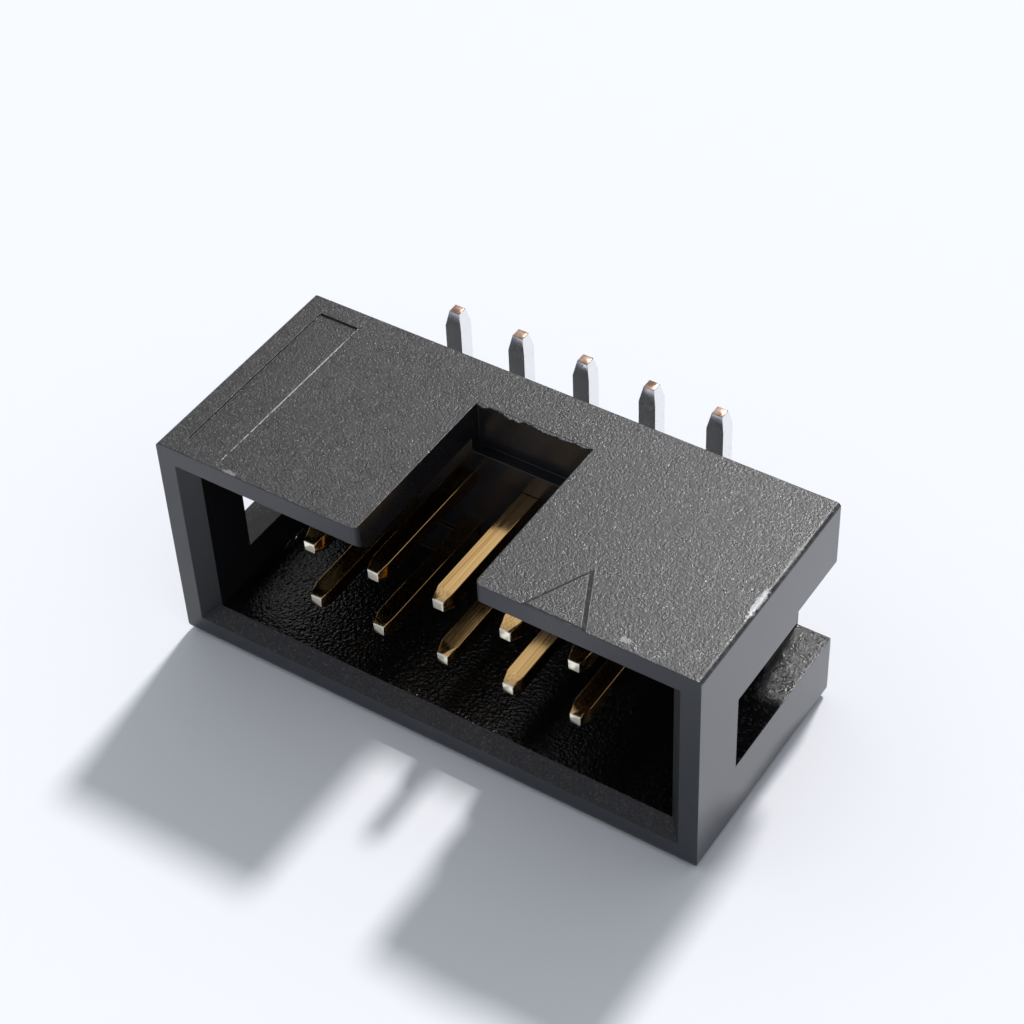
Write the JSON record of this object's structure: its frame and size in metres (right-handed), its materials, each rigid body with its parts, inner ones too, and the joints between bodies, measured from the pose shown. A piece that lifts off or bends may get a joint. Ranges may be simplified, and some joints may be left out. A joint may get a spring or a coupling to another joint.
{
  "type": "idc box header",
  "caption": "Shrouded box header with two rows of square contacts, a key notch, open end slots and surface-mount tails spread to both long sides",
  "frame": {"origin": "Under the middle of the whole part, on the plane of the flat side that it lies on", "axes": "+X along the row of contacts, to the right seen from the mouth; +Y from the mouth to the tails; +Z from the flat side to the key side"},
  "size_m": [0.0204, 0.0104, 0.0093],
  "materials": {
    "housing_plastic": "black moulded thermoplastic, spark-eroded on the key side and smooth on the ends and rim",
    "contact_plating": "drawn brass wire, gold flash on the mating ends and bright tin on the tails"
  },
  "bodies": {
    "root": {"housing": "housing_plastic", "pin_upper_1": "contact_plating", "pin_upper_2": "contact_plating", "pin_upper_3": "contact_plating", "pin_upper_4": "contact_plating", "pin_upper_5": "contact_plating", "pin_lower_1": "contact_plating", "pin_lower_2": "contact_plating", "pin_lower_3": "contact_plating", "pin_lower_4": "contact_plating", "pin_lower_5": "contact_plating"}
  },
  "joints": []
}
